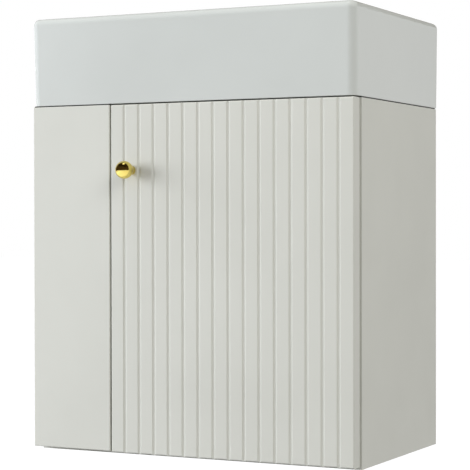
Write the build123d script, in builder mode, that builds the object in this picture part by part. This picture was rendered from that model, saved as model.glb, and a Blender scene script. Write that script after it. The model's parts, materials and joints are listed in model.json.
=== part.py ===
from build123d import *
import os
from math import sqrt

# Wall-hung vanity unit: a ceramic basin that caps a small cabinet, whose front is a fixed
# filler panel at the left and a fluted door hung at the right on two concealed hinges.
#
# Millimetres. +X is to the right as one faces the unit, +Y goes into the wall, +Z is up.
# The origin is on the wall plane, midway between the two wall-fixing holes.

# Cabinet boards
cabinet_width = 400
cabinet_height = 395
cabinet_depth = 230
board = 15
hanging_rail_height = 90
lower_rail_height = 60
front_rail_depth = 60

# Wall fixings
fixing_drop = 45            # wall-fixing holes below the cabinet top
fixing_spacing = 240
fixing_hole_radius = 4
lower_fixing_rise = 30      # lower holes above the top face of the bottom panel

# Board joints: cam lock, its bolt, and dowel
cam_radius = 7.5
cam_depth = 12.5
cam_setback = 24            # cam centre from the board end
cam_wall = 1
cam_slot_length = 10
cam_slot_width = 1.6
cam_slot_depth = 1.5
bolt_radius = 3.5
bolt_grip = 11              # bolt and dowel depth in the side panel
dowel_radius = 4
dowel_reach = 20
floor_cam_inset = 45        # bottom panel's cams from its front and back edges
joint_clearance = 0.1

# Filler panel, the post behind it and their fixings
filler_width = 101.2
filler_bottom_reveal = 4.5  # filler ends above the cabinet bottom
filler_edge_radius = 0.8
post_width = 50
post_overlap = 18           # post behind the door's closing edge
filler_fixing_inset = 70    # fixings from the filler's top and bottom ends
filler_screw_radius = 2
filler_screw_head_radius = 4
filler_screw_bite = 12
bracket_leg = 20
bracket_thickness = 2
bracket_height = 16
bracket_bend_radius = 1
bracket_hole_reach = 13     # bracket hole from the corner
small_screw_radius = 1.75
small_screw_head_radius = 3.2
small_screw_bite = 10
screw_head_height = 1.8
recess_depth = 0.8          # cross recess in a screw head
recess_length_share = 1.1   # of the head radius, as is the next
recess_width_share = 0.25

# Door
door_thickness = 16
door_standoff = 3           # free gap between door and cabinet front
door_gap = 2                # between filler and door
door_side_inset = 1         # door edge inside the right side panel's face
door_bottom_reveal = 3.5
door_top_reveal = 0.2
door_opening = 95           # degrees
front_edge_radius = 1.5
back_edge_radius = 0.8
rib_count = 16
groove_depth = 1.2
groove_floor_radius = 2.2
groove_shoulder_radius = 1.2
bumper_radius = 4.5
bumper_edge_radius = 0.8
bumper_inset = 9            # bumper centre from the door's closing edge
bumper_end_inset = 40
bumper_air = 0.1

# Knob
knob_rib = 2                # counted from the closing edge
knob_drop = 74              # below the cabinet top
knob_ball_radius = 10
knob_reach = 16.5           # ball centre in front of the door face
knob_stem_radius = 5.2
knob_seat_depth = 2.5       # stem end inside the ball
knob_screw_radius = 2
knob_screw_head_radius = 4
knob_screw_bite = 6         # screw end beyond the stem
knob_clearance = 0.1

# Concealed hinges. Arm pins are placed from the side panel's inner face and the cabinet
# front, cup pins from the cup centre and the door's back face.
hinge_end_inset = 90        # hinge centre from the door's top and bottom ends
cup_radius = 17.5
cup_depth = 11.5
cup_edge_distance = 3       # cup rim from the door's hinge edge
cup_wall = 1.2
cup_floor = 0.8
cup_flange_thickness = 1.5
cup_flange_width = 14
cup_flange_length = 58
cup_flange_offset = 9.5     # flange centre line from the cup centre
cup_flange_corner = 4
cup_screw_spacing = 45
outer_arm_pin = (-15.96, 22.7)
inner_arm_pin = (-20.24, 2.16)
outer_cup_pin = (12.05, -2)
inner_cup_pin = (8.57, -6.5)
outer_link_knees = ((7.3, -3), (9.1, -3.3))         # placed like the cup pins
inner_link_knees = ((1, -7.8), (4, -8.1))
outer_link_turn = -0.218    # degrees the outer link turns for each degree of the door
inner_link_turn = -0.126
outer_link_width = 3.5
outer_link_boss_radius = 3
outer_link_bridge = 0.3     # bridge between the cheeks, as a share of the way to the knee
cheek_thickness = 2.7
inner_link_width = 4.2
inner_link_thickness = 9
link_gap = 0.3              # between the outer link's cheeks and the inner link
ear_gap = 0.5               # between a cheek and the arm wall or cup side
pin_radius = 1
pin_length = 19
pin_running = 0.05          # radial clearance where a link turns on a pin
pin_seat = 0.02             # radial clearance where a pin is held
slot_play = 0.25            # around the sliding pin's whole path
arm_outline = (             # the arm's walls seen from above, placed like the arm pins
    (-23.6, -2.2), (-17.2, -2.2), (-2, 13), (-2, 73), (-10, 73), (-10, 37), (-20.5, 27), (-23.6, 21))
arm_wall = 1.5
arm_web = 2
arm_web_start = 11          # behind the cabinet front, as are the next five
arm_end = 73
arm_screw_setback = 53
plate_start = 19
plate_end = 71
plate_screw_setback = 37
plate_thickness = 2
plate_screw_spacing = 32
plate_wing_width = 14
plate_wing_corner = 5

# Basin
basin_side_overhang = 1.5   # beyond each side of the cabinet
basin_front_overhang = 3    # beyond the front of the door and filler
basin_height = 100
basin_side_draft = 1.2
basin_front_draft = 3
basin_corner_radius = 9
basin_rim_radius = 7
basin_foot_radius = 0.8
basin_seat_front = 30       # width of the seat that bears on the cabinet
basin_seat_side = 14
basin_deck_thickness = 14
bowl_margin_side = 24
bowl_margin_front = 22
bowl_margin_back = 74
bowl_depth = 84
bowl_wall = 9
bowl_corner_radius = 38
bowl_taper_side = 22
bowl_taper_front = 14
bowl_floor_radius = 16
bowl_lip_radius = 5
waste_radius = 23
waste_seat_radius = 31
waste_seat_depth = 2
tap_hole_radius = 17.5
tap_hole_setback = 36       # from the wall

# Bedding seal under the basin, on the cabinet and the filler
seal_thickness = 1.1
seal_inset = 1
seal_width = 10

# Places worked out from the sizes above
half_width = cabinet_width / 2
inner_half = half_width - board
cabinet_top = fixing_drop
cabinet_bottom = cabinet_top - cabinet_height
cabinet_front = -cabinet_depth
floor_top = cabinet_bottom + board
rail_underside = cabinet_top - board
rail_back = cabinet_front + front_rail_depth
hanging_rail_bottom = cabinet_top - hanging_rail_height
lower_rail_top = floor_top + lower_rail_height
door_back = cabinet_front - door_standoff
door_front = door_back - door_thickness
filler_right = -half_width + filler_width
filler_bottom = cabinet_bottom + filler_bottom_reveal
door_left = filler_right + door_gap
door_right = half_width - door_side_inset
door_bottom = cabinet_bottom + door_bottom_reveal
door_top = cabinet_top - door_top_reveal
rib_pitch = (door_right - door_left + door_gap) / rib_count
post_right = door_left + post_overlap
post_left = post_right - post_width
post_back = cabinet_front + board
knob_x = door_left - door_gap / 2 + (knob_rib - 0.5) * rib_pitch
knob_z = cabinet_top - knob_drop
ball_y = door_front - knob_reach
stem_end = ball_y + sqrt(knob_ball_radius**2 - knob_stem_radius**2) - knob_seat_depth
cup_x = door_right - cup_edge_distance - cup_radius
hinge_heights = {"lower": door_bottom + hinge_end_inset, "upper": door_top - hinge_end_inset}
basin_bottom = cabinet_top + seal_thickness
basin_top = basin_bottom + basin_height
basin_width = cabinet_width + 2 * basin_side_overhang
basin_depth = basin_front_overhang - door_front
pick_reach = 0.1            # how near an edge or face lies to the place it is picked by

os.makedirs("parts", exist_ok=True)


def save(part, name):
    part.label = name
    export_step(part, "parts/" + name + ".step")


def slab(x, y, z, mode=Mode.ADD):
    """A block between two planes on each axis, in the active part."""
    with BuildSketch(Plane.XY.offset(z[0])) as base:
        with Locations(((x[0] + x[1]) / 2, (y[0] + y[1]) / 2)):
            Rectangle(x[1] - x[0], y[1] - y[0])
    extrude(base.sketch, amount=z[1] - z[0], mode=mode)


def rods(planes, radius, start, end, mode=Mode.ADD):
    """One round rod on each plane, from start to end along the plane's normal."""
    with BuildSketch(*[plane.offset(start) for plane in planes]) as ends:
        Circle(radius)
    extrude(ends.sketch, amount=end - start, mode=mode)


def cross_slots(planes, length, width, depth):
    """A cross cut down into the face that lies on each plane."""
    with BuildSketch(*planes) as cross:
        Rectangle(length, width)
        Rectangle(width, length)
    extrude(cross.sketch, amount=-depth, mode=Mode.SUBTRACT)


def pan_screws(planes, radius, length, head_radius):
    """Screws whose head stands on each plane and whose shank runs along its normal."""
    rods(planes, radius, 0, length)
    rods(planes, head_radius, -screw_head_height, 0)
    tops = [Plane(plane.offset(-screw_head_height).origin, z_dir=-plane.z_dir) for plane in planes]
    cross_slots(tops, head_radius * recess_length_share, head_radius * recess_width_share, recess_depth)


# Board joints. Each fixing has a plane on the side panel's inner face, looking along the
# board, and each cam a plane on the board's face, looking out of it.
def end_planes(y, z):
    return [Plane(origin=(s * inner_half, y, z), z_dir=(-s, 0, 0)) for s in (-1, 1)]


def cam_planes(y, z, normal):
    cam_x = inner_half - cam_setback
    return [Plane(origin=(s * cam_x, y, z), x_dir=(1, 0, 0), z_dir=normal) for s in (-1, 1)]


rail_middle_y = -board / 2
floor_middle_z = cabinet_bottom + board / 2
front_rail_y = cabinet_front + front_rail_depth / 2
front_rail_z = cabinet_top - board / 2
floor_cam_front = cabinet_front + floor_cam_inset
floor_cam_back = -floor_cam_inset
front_rail_cam_y = front_rail_y + front_rail_depth / 4
front_rail_dowel_y = front_rail_y - front_rail_depth / 4
hanging_cam_z = cabinet_top - hanging_rail_height / 3
hanging_dowel_z = hanging_rail_bottom + hanging_rail_height / 4
lower_cam_z = floor_top + lower_rail_height * 2 / 3
lower_dowel_z = floor_top + lower_rail_height / 4

floor_bolts = end_planes(floor_cam_front, floor_middle_z) + end_planes(floor_cam_back, floor_middle_z)
floor_cams = (cam_planes(floor_cam_front, floor_top, (0, 0, 1))
              + cam_planes(floor_cam_back, floor_top, (0, 0, 1)))
floor_dowels = end_planes(cabinet_front / 2, floor_middle_z)
front_rail_bolts = end_planes(front_rail_cam_y, front_rail_z)
front_rail_cams = cam_planes(front_rail_cam_y, rail_underside, (0, 0, -1))
front_rail_dowels = end_planes(front_rail_dowel_y, front_rail_z)
hanging_bolts = end_planes(rail_middle_y, hanging_cam_z)
hanging_cams = cam_planes(-board, hanging_cam_z, (0, -1, 0))
hanging_dowels = end_planes(rail_middle_y, hanging_dowel_z)
lower_bolts = end_planes(rail_middle_y, lower_cam_z)
lower_cams = cam_planes(-board, lower_cam_z, (0, -1, 0))
lower_dowels = end_planes(rail_middle_y, lower_dowel_z)
all_bolts = floor_bolts + front_rail_bolts + hanging_bolts + lower_bolts
all_cams = floor_cams + front_rail_cams + hanging_cams + lower_cams
all_dowels = floor_dowels + front_rail_dowels + hanging_dowels + lower_dowels


def fixing_planes(z):
    """Planes on the wall face of a rail, looking into the cabinet, at its two wall holes."""
    return [Plane(origin=(s * fixing_spacing / 2, 0, z), z_dir=(0, -1, 0)) for s in (-1, 1)]


# Screw planes: the head bears on the plane and the shank follows the normal
filler_fixing_heights = (filler_bottom + filler_fixing_inset, cabinet_top - filler_fixing_inset)
filler_screw_x = (post_left + filler_right) / 2
filler_screw_planes = [
    Plane(origin=(filler_screw_x, post_back, z), z_dir=(0, -1, 0)) for z in filler_fixing_heights
]
bracket_side_planes = [
    Plane(origin=(-inner_half + bracket_thickness, cabinet_front + bracket_hole_reach, z), z_dir=(-1, 0, 0))
    for z in filler_fixing_heights
]
bracket_front_planes = [
    Plane(origin=(-inner_half + bracket_hole_reach, cabinet_front + bracket_thickness, z), z_dir=(0, -1, 0))
    for z in filler_fixing_heights
]
knob_plane = Plane(origin=(knob_x, door_back, knob_z), z_dir=(0, -1, 0))
plate_face = inner_half - plate_thickness
web_face = plate_face - arm_web
plate_screw_planes = [
    Plane(origin=(plate_face, cabinet_front + plate_screw_setback, z + s * plate_screw_spacing / 2),
          z_dir=(1, 0, 0))
    for z in hinge_heights.values() for s in (-1, 1)
]
arm_screw_planes = [
    Plane(origin=(web_face, cabinet_front + arm_screw_setback, z), z_dir=(1, 0, 0))
    for z in hinge_heights.values()
]
cup_screw_planes = [
    Plane(origin=(cup_x - cup_flange_offset, door_back, z + s * cup_screw_spacing / 2), z_dir=(0, -1, 0))
    for z in hinge_heights.values() for s in (-1, 1)
]

# Cabinet
def side_panel(side):
    """The side panel on the -1 (left) or +1 (right) side, without its own screw holes."""
    x = sorted((side * inner_half, side * half_width))
    slab(x, (cabinet_front, 0), (cabinet_bottom, cabinet_top))
    for planes, radius in ((all_bolts, bolt_radius), (all_dowels, dowel_radius)):
        own = [plane for plane in planes if plane.origin.X * side > 0]
        rods(own, radius + joint_clearance, -bolt_grip - joint_clearance, 0, Mode.SUBTRACT)


def cut_joints(bolts, cams, dowels):
    """Holes for the joints in the ends of a board."""
    rods(bolts, bolt_radius + joint_clearance, 0, cam_setback, Mode.SUBTRACT)
    rods(cams, cam_radius + joint_clearance, -cam_depth - joint_clearance, 0, Mode.SUBTRACT)
    rods(dowels, dowel_radius + joint_clearance, 0, dowel_reach + joint_clearance, Mode.SUBTRACT)


def pilot_holes(planes, radius, start, bite):
    """Blind holes for screws, from start along each plane's normal."""
    rods(planes, radius + joint_clearance, start, start + bite + joint_clearance, Mode.SUBTRACT)


with BuildPart() as side_panel_left:
    side_panel(-1)
    pilot_holes(bracket_side_planes, small_screw_radius, bracket_thickness, small_screw_bite)
save(side_panel_left.part, "side_panel_left")

with BuildPart() as side_panel_right:
    side_panel(1)
    pilot_holes(plate_screw_planes, small_screw_radius, plate_thickness, small_screw_bite)
save(side_panel_right.part, "side_panel_right")

with BuildPart() as bottom_panel:
    slab((-inner_half, inner_half), (cabinet_front, 0), (cabinet_bottom, floor_top))
    cut_joints(floor_bolts, floor_cams, floor_dowels)
save(bottom_panel.part, "bottom_panel")

with BuildPart() as front_rail:
    slab((-inner_half, inner_half), (cabinet_front, rail_back), (rail_underside, cabinet_top))
    cut_joints(front_rail_bolts, front_rail_cams, front_rail_dowels)
save(front_rail.part, "front_rail")

with BuildPart() as hanging_rail:
    slab((-inner_half, inner_half), (-board, 0), (hanging_rail_bottom, cabinet_top))
    cut_joints(hanging_bolts, hanging_cams, hanging_dowels)
    rods(fixing_planes(0), fixing_hole_radius, 0, board, Mode.SUBTRACT)
save(hanging_rail.part, "hanging_rail")

with BuildPart() as lower_rail:
    slab((-inner_half, inner_half), (-board, 0), (floor_top, lower_rail_top))
    cut_joints(lower_bolts, lower_cams, lower_dowels)
    rods(fixing_planes(floor_top + lower_fixing_rise), fixing_hole_radius, 0, board, Mode.SUBTRACT)
save(lower_rail.part, "lower_rail")

# A cam is a disc with a socket for the bolt's end and a screwdriver cross.
with BuildPart() as cam_locks:
    rods(all_cams, cam_radius, -cam_depth, 0)
    rods(all_bolts, bolt_radius + joint_clearance, cam_setback - cam_radius - cam_wall, cam_setback,
         Mode.SUBTRACT)
    cross_slots(all_cams, cam_slot_length, cam_slot_width, cam_slot_depth)
save(cam_locks.part, "cam_locks")

with BuildPart() as cam_bolts:
    rods(all_bolts, bolt_radius, -bolt_grip, cam_setback - joint_clearance)
save(cam_bolts.part, "cam_bolts")

with BuildPart() as dowels:
    rods(all_dowels, dowel_radius, -bolt_grip, dowel_reach)
save(dowels.part, "dowels")

# Filler panel and what holds it
with BuildPart() as filler_panel:
    slab((-half_width, filler_right), (door_front, cabinet_front), (filler_bottom, cabinet_top))
    fillet(filler_panel.faces().sort_by(Axis.Y)[0].edges(), filler_edge_radius)
    pilot_holes(filler_screw_planes, filler_screw_radius, board, filler_screw_bite)
    pilot_holes(bracket_front_planes, small_screw_radius, bracket_thickness, small_screw_bite)
save(filler_panel.part, "filler_panel")

with BuildPart() as filler_post:
    slab((post_left, post_right), (cabinet_front, post_back), (floor_top, rail_underside))
    rods(filler_screw_planes, filler_screw_radius + joint_clearance, 0, board, Mode.SUBTRACT)
save(filler_post.part, "filler_post")

with BuildPart() as filler_screws:
    pan_screws(filler_screw_planes, filler_screw_radius, board + filler_screw_bite, filler_screw_head_radius)
save(filler_screws.part, "filler_screws")

with BuildPart() as filler_brackets:
    with BuildSketch(*[Plane.XY.offset(z - bracket_height / 2) for z in filler_fixing_heights]):
        with Locations((-inner_half, cabinet_front)):
            Rectangle(bracket_leg, bracket_thickness, align=(Align.MIN, Align.MIN))
            Rectangle(bracket_thickness, bracket_leg, align=(Align.MIN, Align.MIN))
    extrude(amount=bracket_height)
    inner_x = -inner_half + bracket_thickness
    inner_y = cabinet_front + bracket_thickness
    uprights = filler_brackets.edges().filter_by(Axis.Z)
    near_x = uprights.filter_by_position(Axis.X, inner_x - pick_reach, inner_x + pick_reach)
    bend = near_x.filter_by_position(Axis.Y, inner_y - pick_reach, inner_y + pick_reach)
    fillet(bend, bracket_bend_radius)
    rods(bracket_side_planes + bracket_front_planes, small_screw_radius + joint_clearance,
         0, bracket_thickness, Mode.SUBTRACT)
save(filler_brackets.part, "filler_brackets")

with BuildPart() as bracket_screws:
    pan_screws(bracket_side_planes + bracket_front_planes, small_screw_radius,
               bracket_thickness + small_screw_bite, small_screw_head_radius)
save(bracket_screws.part, "bracket_screws")

with BuildPart() as door_bumpers:
    bumper_planes = [
        Plane(origin=(door_left + bumper_inset, cabinet_front, z), z_dir=(0, -1, 0))
        for z in (door_bottom + bumper_end_inset, door_top - bumper_end_inset)
    ]
    rods(bumper_planes, bumper_radius, 0, door_standoff - bumper_air)
    fillet(door_bumpers.faces().sort_by(Axis.Y)[0:2].edges(), bumper_edge_radius)
save(door_bumpers.part, "door_bumpers")


# Fluted door: a slab with eased edges, cut by one round-bottomed groove between each pair
# of ribs. Each groove's shoulders are arcs that meet the face and the floor arc smoothly.
floor_centre = groove_depth - groove_floor_radius
shoulder_drop = groove_shoulder_radius - floor_centre
arc_span = groove_floor_radius + groove_shoulder_radius
groove_half = sqrt(arc_span**2 - shoulder_drop**2)
meet_x = groove_half * groove_floor_radius / arc_span
meet_y = floor_centre + shoulder_drop * groove_floor_radius / arc_span

with BuildSketch(mode=Mode.PRIVATE) as groove:
    with BuildLine():
        TangentArc((-groove_half, 0), (-meet_x, meet_y), tangent=(1, 0))
        ThreePointArc((-meet_x, meet_y), (0, groove_depth), (meet_x, meet_y))
        TangentArc((groove_half, 0), (meet_x, meet_y), tangent=(-1, 0))
        Polyline((groove_half, 0), (groove_half, -1), (-groove_half, -1), (-groove_half, 0))
    make_face()


def cup_plane(z):
    """On the door's back at a hinge cup's centre, looking into the door."""
    return Plane(origin=(cup_x, door_back, z), x_dir=(1, 0, 0), z_dir=(0, -1, 0))


def flange(z, clearance, mode):
    """The cup's flange, or the shallow recess for it in the door."""
    with BuildSketch(cup_plane(z)) as outline:
        with Locations((-cup_flange_offset, 0)):
            RectangleRounded(cup_flange_width + 2 * clearance, cup_flange_length + 2 * clearance,
                             cup_flange_corner + clearance)
    extrude(outline.sketch, amount=cup_flange_thickness, mode=mode)


with BuildPart() as door_panel:
    slab((door_left, door_right), (door_front, door_back), (door_bottom, door_top))
    fillet(door_panel.faces().sort_by(Axis.Y)[0].edges(), front_edge_radius)
    fillet(door_panel.faces().sort_by(Axis.Y)[-1].edges(), back_edge_radius)
    with BuildSketch(Plane.XY.offset(door_bottom)):
        groove_places = [
            (door_left - door_gap / 2 + k * rib_pitch, door_front) for k in range(1, rib_count)
        ]
        with Locations(*groove_places):
            add(groove.sketch)
    extrude(amount=door_top - door_bottom, mode=Mode.SUBTRACT)
    for z in hinge_heights.values():
        flange(z, joint_clearance, Mode.SUBTRACT)
        rods([cup_plane(z)], cup_radius + joint_clearance, 0, cup_depth, Mode.SUBTRACT)
    pilot_holes(cup_screw_planes, small_screw_radius, cup_flange_thickness, small_screw_bite)
    rods([knob_plane], knob_screw_radius + knob_clearance, 0, door_thickness, Mode.SUBTRACT)
save(door_panel.part, "door_panel")

# Knob: a ball on a plain stem, held by a screw through the door
ball_plane = Plane(origin=(knob_x, ball_y, knob_z), z_dir=(0, 1, 0))
stem_start = stem_end - ball_y

with BuildPart() as knob_ball:
    with Locations(ball_plane.origin):
        Sphere(knob_ball_radius)
    rods([ball_plane], knob_stem_radius + knob_clearance, stem_start, knob_ball_radius, Mode.SUBTRACT)
    rods([ball_plane], knob_screw_radius + knob_clearance, stem_start - knob_screw_bite - knob_clearance,
         stem_start, Mode.SUBTRACT)
save(knob_ball.part, "knob_ball")

with BuildPart() as knob_stem:
    rods([ball_plane], knob_stem_radius, stem_start, knob_reach)
    rods([ball_plane], knob_screw_radius + knob_clearance, stem_start, knob_reach, Mode.SUBTRACT)
save(knob_stem.part, "knob_stem")

with BuildPart() as knob_screw:
    pan_screws([knob_plane], knob_screw_radius, door_back - stem_end + knob_screw_bite,
               knob_screw_head_radius)
save(knob_screw.part, "knob_screw")

# Concealed hinges. Seen from above, each has an arm on the cabinet side, a cup in the door
# and two links between them. The inner link's arm pin slides in a slot in the arm.
arm_corner = Vector(inner_half, cabinet_front)
cup_corner = Vector(cup_x, door_back)
outer_arm = arm_corner + Vector(outer_arm_pin)
inner_arm = arm_corner + Vector(inner_arm_pin)
outer_cup = cup_corner + Vector(outer_cup_pin)
inner_cup = cup_corner + Vector(inner_cup_pin)
outer_route = [outer_arm] + [cup_corner + Vector(knee) for knee in outer_link_knees] + [outer_cup]
inner_route = [inner_arm] + [cup_corner + Vector(knee) for knee in inner_link_knees] + [inner_cup]
cheek_inside = inner_link_thickness / 2 + link_gap
cheek_outside = cheek_inside + cheek_thickness
ear_inside = cheek_outside + ear_gap
ear_outside = ear_inside + arm_wall


def sliding_pin(opening):
    """Where the inner link's arm pin stands, seen from above, at a door opening in degrees."""
    outer_moved = outer_arm + (outer_cup - outer_arm).rotate(Axis.Z, outer_link_turn * opening)
    inner_moved = outer_moved + (inner_cup - outer_cup).rotate(Axis.Z, opening)
    return inner_moved - (inner_cup - inner_arm).rotate(Axis.Z, inner_link_turn * opening)


def pin_planes(point):
    """One plane at each hinge's middle height, with its origin on a pin's axis."""
    return [Plane(origin=(point.X, point.Y, z)) for z in hinge_heights.values()]


def pins(points, radius, reach, mode=Mode.ADD):
    """Rods along Z at the given points of both hinges, centred on the hinges' middles."""
    for point in points:
        rods(pin_planes(point), radius, -reach, reach, mode)


def strip(route, width, z):
    """A flat link along a route seen from above, with rounded ends and knees."""
    with BuildSketch(Plane.XY.offset(z[0])) as plan:
        with BuildLine():
            Polyline(*[(point.X, point.Y) for point in route])
        trace(line_width=width)
        with Locations(*[(point.X, point.Y) for point in route]):
            Circle(width / 2)
    extrude(plan.sketch, amount=z[1] - z[0])


def cones(planes, clearance, mode=Mode.ADD):
    """Countersunk heads, or their seats, that narrow along each plane's normal."""
    with BuildSketch(*planes) as tops:
        Circle(small_screw_head_radius + clearance)
    extrude(tops.sketch, amount=small_screw_head_radius - small_screw_radius, taper=45, mode=mode)


pin_path = [sliding_pin(opening) for opening in range(0, door_opening + 1, 5)]
slot_x = (min(p.X for p in pin_path), max(p.X for p in pin_path))
slot_y = (min(p.Y for p in pin_path), max(p.Y for p in pin_path))
slot_width = slot_x[1] - slot_x[0] + 2 * (pin_radius + slot_play)
slot_length = slot_y[1] - slot_y[0] + 2 * (pin_radius + slot_play)

for name, z in hinge_heights.items():
    with BuildPart() as hinge_cup:
        rods([cup_plane(z)], cup_radius, 0, cup_depth)
        flange(z, 0, Mode.ADD)
        with BuildSketch(cup_plane(z)):
            Circle(cup_radius - cup_wall)
            Rectangle(2 * cup_radius, 2 * ear_inside, mode=Mode.INTERSECT)
        extrude(amount=cup_depth - cup_floor, mode=Mode.SUBTRACT)
        pins([outer_cup, inner_cup], pin_radius + pin_seat, pin_length / 2, Mode.SUBTRACT)
        rods(cup_screw_planes, small_screw_radius + joint_clearance, 0, cup_flange_thickness, Mode.SUBTRACT)
        cones(cup_screw_planes, joint_clearance, Mode.SUBTRACT)
    save(hinge_cup.part, "hinge_cup_" + name)

    with BuildPart() as outer_link:
        for low in (z - cheek_outside, z + cheek_inside):
            strip(outer_route, outer_link_width, (low, low + cheek_thickness))
        bridge_end = outer_arm + (outer_route[1] - outer_arm) * outer_link_bridge
        strip([outer_arm, bridge_end], outer_link_width, (z - cheek_outside, z + cheek_outside))
        rods([Plane(origin=(outer_arm.X, outer_arm.Y, z))], outer_link_boss_radius,
             -cheek_outside, cheek_outside)
        pins([outer_arm, outer_cup], pin_radius + pin_running, pin_length / 2, Mode.SUBTRACT)
    save(outer_link.part, "outer_link_" + name)

    with BuildPart() as inner_link:
        strip(inner_route, inner_link_width,
              (z - inner_link_thickness / 2, z + inner_link_thickness / 2))
        pins([inner_cup], pin_radius + pin_running, pin_length / 2, Mode.SUBTRACT)
        pins([inner_arm], pin_radius + pin_seat, pin_length / 2, Mode.SUBTRACT)
    save(inner_link.part, "inner_link_" + name)

    with BuildPart() as hinge_arm:
        with BuildSketch(Plane.XY.offset(z - ear_outside), Plane.XY.offset(z + ear_inside)):
            with BuildLine():
                Polyline(*[(inner_half + x, cabinet_front + y) for x, y in arm_outline], close=True)
            make_face()
        extrude(amount=arm_wall)
        slab((web_face, plate_face), (cabinet_front + arm_web_start, cabinet_front + arm_end),
             (z - ear_inside, z + ear_inside))
        with BuildSketch(Plane.XY.offset(z - ear_outside)):
            with Locations(((slot_x[0] + slot_x[1]) / 2, (slot_y[0] + slot_y[1]) / 2)):
                SlotOverall(slot_length, slot_width, rotation=90)
        extrude(amount=2 * ear_outside, mode=Mode.SUBTRACT)
        pins([outer_arm], pin_radius + pin_seat, pin_length / 2, Mode.SUBTRACT)
        rods(arm_screw_planes, small_screw_radius + joint_clearance, 0, arm_web, Mode.SUBTRACT)
    save(hinge_arm.part, "hinge_arm_" + name)

    with BuildPart() as hinge_plate:
        slab((plate_face, inner_half), (cabinet_front + plate_start, cabinet_front + plate_end),
             (z - ear_outside, z + ear_outside))
        with BuildSketch(Plane(origin=(plate_face, cabinet_front + plate_screw_setback, z),
                               x_dir=(0, 1, 0), z_dir=(1, 0, 0))):
            RectangleRounded(plate_wing_width, plate_screw_spacing + plate_wing_width, plate_wing_corner)
        extrude(amount=plate_thickness)
        rods(plate_screw_planes + [plane.offset(arm_web) for plane in arm_screw_planes],
             small_screw_radius + joint_clearance, 0, plate_thickness, Mode.SUBTRACT)
    save(hinge_plate.part, "hinge_plate_" + name)

with BuildPart() as cup_pins:
    pins([outer_cup, inner_cup], pin_radius, pin_length / 2)
save(cup_pins.part, "cup_pins")

with BuildPart() as arm_pins:
    pins([outer_arm], pin_radius, pin_length / 2)
save(arm_pins.part, "arm_pins")

with BuildPart() as slide_pins:
    pins([inner_arm], pin_radius, pin_length / 2)
save(slide_pins.part, "slide_pins")

with BuildPart() as cup_screws:
    rods(cup_screw_planes, small_screw_radius, 0, cup_flange_thickness + small_screw_bite)
    cones(cup_screw_planes, 0)
    outward = [Plane(plane.origin, z_dir=-plane.z_dir) for plane in cup_screw_planes]
    cross_slots(outward, small_screw_head_radius * recess_length_share,
                small_screw_head_radius * recess_width_share, recess_depth)
save(cup_screws.part, "cup_screws")

with BuildPart() as plate_screws:
    pan_screws(plate_screw_planes, small_screw_radius, plate_thickness + small_screw_bite,
               small_screw_head_radius)
save(plate_screws.part, "plate_screws")

with BuildPart() as arm_screws:
    pan_screws(arm_screw_planes, small_screw_radius, arm_web + plate_thickness, small_screw_head_radius)
save(arm_screws.part, "arm_screws")

# Basin: a drafted block that caps the cabinet, hollow underneath, with a moulded bowl
bowl_left = -basin_width / 2 + bowl_margin_side
bowl_front = -basin_depth + bowl_margin_front
bowl_back = -bowl_margin_back
bowl_floor = basin_top - bowl_depth
bowl_middle_y = (bowl_front + bowl_back) / 2
foot_width = basin_width - 2 * basin_side_draft
foot_depth = basin_depth - basin_front_draft


def outer_outline(z, width, depth):
    with BuildSketch(Plane.XY.offset(z)) as outline:
        Rectangle(width, depth, align=(Align.CENTER, Align.MAX))
        fillet(outline.vertices().sort_by(Axis.Y)[:2], basin_corner_radius)
    return outline.sketch


def bowl_outline(z, taper_share, wall):
    """The bowl's inner outline, or its hull's, with a share of its full taper."""
    with BuildSketch(Plane.XY.offset(z)) as outline:
        with Locations((0, bowl_middle_y)):
            RectangleRounded(
                -2 * bowl_left - 2 * taper_share * bowl_taper_side + 2 * wall,
                bowl_back - bowl_front - 2 * taper_share * bowl_taper_front + 2 * wall,
                bowl_corner_radius + wall,
            )
    return outline.sketch


def flat_face(part, z):
    """The largest level face of a part at a height."""
    level = part.faces().filter_by(Plane.XY)
    return level.filter_by_position(Axis.Z, z - pick_reach, z + pick_reach).sort_by(SortBy.AREA)[-1]


with BuildPart() as basin:
    loft([outer_outline(basin_bottom, foot_width, foot_depth),
          outer_outline(basin_top, basin_width, basin_depth)])
    fillet(basin.faces().sort_by(Axis.Z)[-1].edges(), basin_rim_radius)
    fillet(basin.faces().sort_by(Axis.Z)[0].edges().sort_by(Axis.Y)[:-1], basin_foot_radius)
    slab((-foot_width / 2 + basin_seat_side, foot_width / 2 - basin_seat_side),
         (-foot_depth + basin_seat_front, -basin_seat_side),
         (basin_bottom, basin_top - basin_deck_thickness), Mode.SUBTRACT)
    hull_top = basin_top - basin_deck_thickness / 2
    loft([bowl_outline(bowl_floor - bowl_wall, 1, bowl_wall), bowl_outline(hull_top, 0, bowl_wall)])
    loft([bowl_outline(bowl_floor, 1, 0), bowl_outline(basin_top, 0, 0)], mode=Mode.SUBTRACT)
    fillet(flat_face(basin, bowl_floor).edges(), bowl_floor_radius)
    fillet(flat_face(basin, basin_top).inner_wires()[0].edges(), bowl_lip_radius)
    waste_plane = Plane(origin=(0, bowl_middle_y, bowl_floor))
    rods([waste_plane], waste_seat_radius, -waste_seat_depth, 0, Mode.SUBTRACT)
    rods([waste_plane], waste_radius, -bowl_wall, 0, Mode.SUBTRACT)
    rods([Plane(origin=(0, -tap_hole_setback, basin_top))], tap_hole_radius, -basin_deck_thickness, 0,
         Mode.SUBTRACT)
save(basin.part, "basin")

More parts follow.
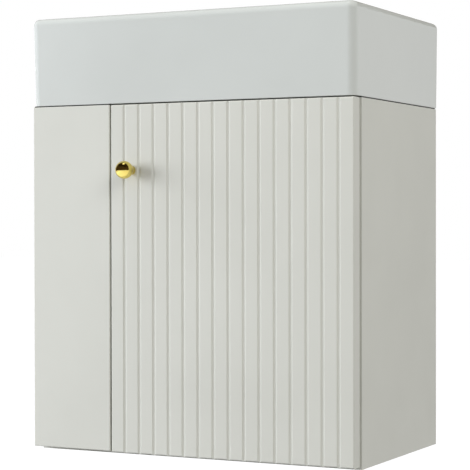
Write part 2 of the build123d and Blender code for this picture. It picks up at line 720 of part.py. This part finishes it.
with BuildPart() as basin_seal:
    inner_inset = seal_inset + seal_width
    with BuildSketch(Plane.XY.offset(cabinet_top)):
        with Locations((0, -cabinet_depth / 2)):
            Rectangle(cabinet_width - 2 * seal_inset, cabinet_depth - 2 * seal_inset)
            Rectangle(cabinet_width - 2 * inner_inset, cabinet_depth - 2 * inner_inset, mode=Mode.SUBTRACT)
        with Locations((-half_width + seal_inset, door_front + seal_inset)):
            Rectangle(filler_width - seal_inset, cabinet_front - door_front, align=(Align.MIN, Align.MIN))
    extrude(amount=seal_thickness)
save(basin_seal.part, "basin_seal")
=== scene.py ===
import json
import math

import bpy
from mathutils import Matrix, Vector

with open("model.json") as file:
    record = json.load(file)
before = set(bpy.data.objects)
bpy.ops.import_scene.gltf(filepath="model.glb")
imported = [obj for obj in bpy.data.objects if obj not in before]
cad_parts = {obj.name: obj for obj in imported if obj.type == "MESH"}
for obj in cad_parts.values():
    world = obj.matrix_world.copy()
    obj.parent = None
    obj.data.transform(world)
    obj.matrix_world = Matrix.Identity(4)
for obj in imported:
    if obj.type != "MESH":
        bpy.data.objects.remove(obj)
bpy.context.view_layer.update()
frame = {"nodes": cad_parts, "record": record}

WHITE = (1, 1, 1, 1)

# Floor: height and side in metres
FLOOR_HEIGHT = -0.70
FLOOR_SIDE = 40
FLOOR_BOUNCE = 0.15         # tone for the rays that light the object
FLOOR_TONE = 0.5            # tone where the floor is seen
FLOOR_LIFT = 0.69           # glow that lifts the seen floor to white

# Light: places, targets and sizes in metres, power in watts
FILL_STRENGTH = 0.645       # even light from all round
LAMPS = (
    dict(name="key_left", place=(-2.13, -1.18, 0.30), target=(0, -0.2, -0.12),
         size=(2.5, 1.1), power=66, colour=(0.96, 0.99, 1.08)),
    dict(name="top_soft", place=(-0.12, -0.58, 2.2), target=(-0.05, -0.25, 0.0),
         size=(0.7, 0.7), power=3, glossy=True),
    dict(name="right_soft", place=(1.5, -1.15, 1.0), target=(0.15, -0.15, 0.0),
         size=(1.0, 1.0), power=15.5),
)

# Dark flags round the set: centre and size in metres. Only glossy rays see them.
FLAG_COLOUR = (0.12, 0.075, 0.04, 1)
FLAGS = (
    dict(name="flag_front", centre=(0, -4.0, 1.45), normal=(0, 1, 0), width=12, height=3.7),
    dict(name="flag_left", centre=(-4.0, -1.4, 1.45), normal=(1, 0, 0), width=5.2, height=3.7),
    dict(name="flag_right", centre=(4.0, -1.4, 1.45), normal=(-1, 0, 0), width=5.2, height=3.7),
    dict(name="flag_top", centre=(0, -0.5, 3.2), normal=(0, 0, -1), width=12, height=7.0),
    dict(name="flag_back", centre=(0, 3.0, 2.1), normal=(0, -1, 0), width=12, height=2.4),
)

# Camera
PHOTO_WIDTH = 470           # pixels
SENSOR_WIDTH = 36           # millimetres


# Shader nodes

def linear(srgb):
    """Linear RGBA from 0-255 display values."""
    return tuple(
        c / 12.92 if c <= 0.04045 else ((c + 0.055) / 1.055) ** 2.4
        for c in (v / 255 for v in srgb)
    ) + (1.0,)


def new_material(name):
    mat = bpy.data.materials.new(name)
    mat.use_nodes = True
    tree = mat.node_tree
    return mat, tree, tree.nodes["Principled BSDF"]


def noise(tree, scale, detail, stretch=None):
    """Noise in object space, so it keeps its real size. scale is in features per metre."""
    source = tree.nodes.new("ShaderNodeTexCoord").outputs["Object"]
    if stretch:
        mapping = tree.nodes.new("ShaderNodeMapping")
        mapping.inputs["Scale"].default_value = stretch
        tree.links.new(source, mapping.inputs["Vector"])
        source = mapping.outputs["Vector"]
    tex = tree.nodes.new("ShaderNodeTexNoise")
    tex.inputs["Scale"].default_value = scale
    tex.inputs["Detail"].default_value = detail
    tree.links.new(source, tex.inputs["Vector"])
    return tex.outputs["Fac"]


def ramp(tree, value, low, high, start=0.3, end=0.7):
    """A colour that runs from low to high as the value goes from start to end."""
    node = tree.nodes.new("ShaderNodeValToRGB")
    first, last = node.color_ramp.elements
    first.position, first.color = start, low
    last.position, last.color = end, high
    tree.links.new(value, node.inputs["Fac"])
    return node.outputs["Color"]


def spread(tree, value, low, high):
    """A number that runs from low to high as the value goes from 0 to 1."""
    node = tree.nodes.new("ShaderNodeMapRange")
    node.inputs["To Min"].default_value = low
    node.inputs["To Max"].default_value = high
    tree.links.new(value, node.inputs["Value"])
    return node.outputs["Result"]


def bump(tree, height, distance, strength, below=None):
    """A relief of the given depth in metres, laid over the one below it."""
    node = tree.nodes.new("ShaderNodeBump")
    node.inputs["Strength"].default_value = strength
    node.inputs["Distance"].default_value = distance
    tree.links.new(height, node.inputs["Height"])
    if below is not None:
        tree.links.new(below, node.inputs["Normal"])
    return node.outputs["Normal"]


def backdrop_ray(tree):
    """1 for camera, glossy and transmission rays, 0 for the rays that light the object."""
    path = tree.nodes.new("ShaderNodeLightPath")
    value = path.outputs["Is Camera Ray"]
    for kind in ("Is Glossy Ray", "Is Transmission Ray"):
        either = tree.nodes.new("ShaderNodeMath")
        either.operation = "MAXIMUM"
        tree.links.new(value, either.inputs[0])
        tree.links.new(path.outputs[kind], either.inputs[1])
        value = either.outputs[0]
    return value


# Materials

def surface(name, tones, tone_scale, rough, rough_scale, relief, rough_detail=2, **settings):
    """A finish with slight changes of tone and gloss.

    tones are the two ends of the display colour, rough those of the roughness. relief lists
    each layer of bumps, lowest first. settings are further inputs of the shader.
    """
    mat, tree, shader = new_material(name)
    low, high = (linear(tone) for tone in tones)
    tree.links.new(
        ramp(tree, noise(tree, tone_scale, detail=3), low, high), shader.inputs["Base Color"])
    tree.links.new(
        spread(tree, noise(tree, rough_scale, rough_detail), *rough), shader.inputs["Roughness"])
    normal = None
    for layer in relief:
        height = noise(tree, layer["scale"], layer["detail"])
        normal = bump(tree, height, layer["distance"], layer["strength"], normal)
    tree.links.new(normal, shader.inputs["Normal"])
    for socket, value in settings.items():
        shader.inputs[socket.replace("_", " ")].default_value = value
    return mat


def lacquer():
    """Satin lacquer on fibreboard: fine orange peel over the faintest waviness."""
    return surface(
        "satin_lacquer", tones=((213, 213, 203), (217, 217, 207)), tone_scale=9,
        rough=(0.40, 0.50), rough_scale=30,
        relief=(dict(scale=420, detail=2, distance=0.00005, strength=0.5),
                dict(scale=26, detail=1, distance=0.00025, strength=0.5)),
        Specular_IOR_Level=0.42)


def glaze():
    """White glazed ceramic: soft waviness of the fired surface under a clear gloss."""
    return surface(
        "white_glaze", tones=((209, 212, 206), (213, 216, 210)), tone_scale=7,
        rough=(0.20, 0.28), rough_scale=14,
        relief=(dict(scale=18, detail=1, distance=0.0007, strength=0.4),
                dict(scale=300, detail=2, distance=0.00003, strength=0.4)),
        Coat_Weight=0.2, Coat_Roughness=0.12)


def metal(name, tones, rough, grain=900, depth=0.00001):
    """A metal with uneven gloss and a fine surface grain."""
    return surface(
        name, tones, tone_scale=120, rough=rough, rough_scale=260, rough_detail=3,
        relief=(dict(scale=grain, detail=2, distance=depth, strength=0.5),), Metallic=1.0)


def rubber(name, tones, rough):
    return surface(
        name, tones, tone_scale=500, rough=rough, rough_scale=200,
        relief=(dict(scale=1500, detail=2, distance=0.00005, strength=0.5),))


def beech():
    """Plain beech: the grain is drawn out along X, the length of the dowels."""
    mat, tree, shader = new_material("beech")
    grain = noise(tree, scale=500, detail=4, stretch=(0.08, 1.0, 1.0))
    tone = ramp(tree, grain, linear((196, 152, 104)), linear((224, 186, 140)))
    tree.links.new(tone, shader.inputs["Base Color"])
    shader.inputs["Roughness"].default_value = 0.6
    tree.links.new(bump(tree, grain, distance=0.0001, strength=0.6), shader.inputs["Normal"])
    return mat


def pale_floor():
    """A floor that looks plain white where nothing shades it, and bounces little light."""
    mat, tree, shader = new_material("pale_floor")
    ray = backdrop_ray(tree)
    tree.links.new(spread(tree, ray, FLOOR_BOUNCE, FLOOR_TONE), shader.inputs["Base Color"])
    shader.inputs["Roughness"].default_value = 1.0
    shader.inputs["Specular IOR Level"].default_value = 0.0
    shader.inputs["Emission Color"].default_value = WHITE
    tree.links.new(spread(tree, ray, 0.0, FLOOR_LIFT), shader.inputs["Emission Strength"])
    return mat


def flag_cloth():
    mat, tree, shader = new_material("flag")
    shader.inputs["Base Color"].default_value = FLAG_COLOUR
    shader.inputs["Roughness"].default_value = 1.0
    return mat


LOOKS = {
    "painted_board": lacquer(),
    "glaze": glaze(),
    # The sealant bead between basin and cabinet is real, but its near-black tone is painted
    # shade that darkens the joint line
    "seal": rubber("seal_black_painted_shade", ((26, 26, 25), (36, 36, 34)), (0.6, 0.75)),
    "bumper": rubber("bumper_clear", ((200, 200, 196), (214, 214, 210)), (0.35, 0.5)),
    "brass": metal("polished_brass", ((224, 202, 108), (232, 212, 122)), (0.04, 0.08),
                   grain=600, depth=0.000004),
    "zinc": metal("die_cast_zinc", ((150, 150, 152), (172, 172, 174)), (0.35, 0.5)),
    "beech": beech(),
    "plated_steel": metal("plated_steel", ((176, 176, 172), (196, 196, 190)), (0.2, 0.32)),
    "nickel": metal("nickel_plate", ((200, 196, 190), (214, 210, 204)), (0.14, 0.24)),
    "steel_pin": metal("steel_pin", ((150, 150, 150), (170, 170, 170)), (0.2, 0.3)),
}

slot_of = {part["node"]: part["material_slot"] for part in frame["record"]["subparts"]}
for name, node in frame["nodes"].items():
    node.data.materials.clear()
    node.data.materials.append(LOOKS[slot_of[name]])


# Stage

def card(name, centre, normal, width, height, material):
    """A flat card that faces along its normal."""
    turn = Vector(normal).to_track_quat("Z", "Y").to_matrix().to_4x4()
    mesh = bpy.data.meshes.new(name)
    w, h = width / 2, height / 2
    mesh.from_pydata([(-w, -h, 0), (w, -h, 0), (w, h, 0), (-w, h, 0)], [], [(0, 1, 2, 3)])
    mesh.materials.append(material)
    obj = bpy.data.objects.new(name, mesh)
    obj.matrix_world = Matrix.Translation(Vector(centre)) @ turn
    bpy.context.scene.collection.objects.link(obj)
    return obj


card("floor", (0, 0, FLOOR_HEIGHT), (0, 0, 1), FLOOR_SIDE, FLOOR_SIDE, pale_floor())


# Light

def background(tree, strength):
    node = tree.nodes.new("ShaderNodeBackground")
    node.inputs["Color"].default_value = WHITE
    node.inputs["Strength"].default_value = strength
    return node.outputs[0]


def studio_world():
    """Even light from all round, behind which the camera and polished pieces see white."""
    world = bpy.data.worlds.new("studio")
    bpy.context.scene.world = world
    world.use_nodes = True
    tree = world.node_tree
    tree.nodes.clear()
    mix = tree.nodes.new("ShaderNodeMixShader")
    tree.links.new(backdrop_ray(tree), mix.inputs[0])
    tree.links.new(background(tree, FILL_STRENGTH), mix.inputs[1])
    tree.links.new(background(tree, 1.0), mix.inputs[2])
    out = tree.nodes.new("ShaderNodeOutputWorld")
    tree.links.new(mix.outputs[0], out.inputs["Surface"])


def lamp(name, place, target, size, power, colour=(1, 1, 1), glossy=False):
    """A rectangular lamp. One that isn't glossy leaves no glare on polish and glaze."""
    data = bpy.data.lights.new(name, "AREA")
    data.shape = "RECTANGLE"
    data.size, data.size_y = size
    data.energy = power
    data.color = colour
    obj = bpy.data.objects.new(name, data)
    obj.visible_glossy = glossy
    turn = (Vector(target) - Vector(place)).to_track_quat("-Z", "Y").to_matrix().to_4x4()
    obj.matrix_world = Matrix.Translation(Vector(place)) @ turn
    bpy.context.scene.collection.objects.link(obj)


studio_world()
for settings in LAMPS:
    lamp(**settings)

cloth = flag_cloth()
for settings in FLAGS:
    flag = card(**settings, material=cloth)
    flag.visible_camera = False
    flag.visible_diffuse = False
    flag.visible_shadow = False


# Camera, at the photograph's viewpoint

def add_camera(place, yaw, pitch, roll, focal_length):
    """yaw turns the view left, pitch down and roll clockwise, in degrees.

    focal_length is in pixels of the photograph.
    """
    yaw, pitch, roll = (math.radians(a) for a in (yaw, pitch, roll))
    look = Vector((
        -math.sin(yaw) * math.cos(pitch), math.cos(yaw) * math.cos(pitch), -math.sin(pitch)))
    right = Vector((math.cos(yaw), math.sin(yaw), 0))
    up = right.cross(look)
    tilted_right = math.cos(roll) * right + math.sin(roll) * up
    tilted_up = -math.sin(roll) * right + math.cos(roll) * up
    data = bpy.data.cameras.new("photo_camera")
    data.sensor_width = SENSOR_WIDTH
    data.lens = focal_length / PHOTO_WIDTH * SENSOR_WIDTH
    cam = bpy.data.objects.new("photo_camera", data)
    cam.matrix_world = Matrix((
        (tilted_right.x, tilted_up.x, -look.x, place[0]),
        (tilted_right.y, tilted_up.y, -look.y, place[1]),
        (tilted_right.z, tilted_up.z, -look.z, place[2]),
        (0, 0, 0, 1),
    ))
    bpy.context.scene.collection.objects.link(cam)
    bpy.context.scene.camera = cam


add_camera(place=(0.87829, -1.88466, -0.08132), yaw=26.593, pitch=0.618, roll=-0.088,
           focal_length=1685.42)
bpy.context.scene.view_settings.view_transform = "Standard"
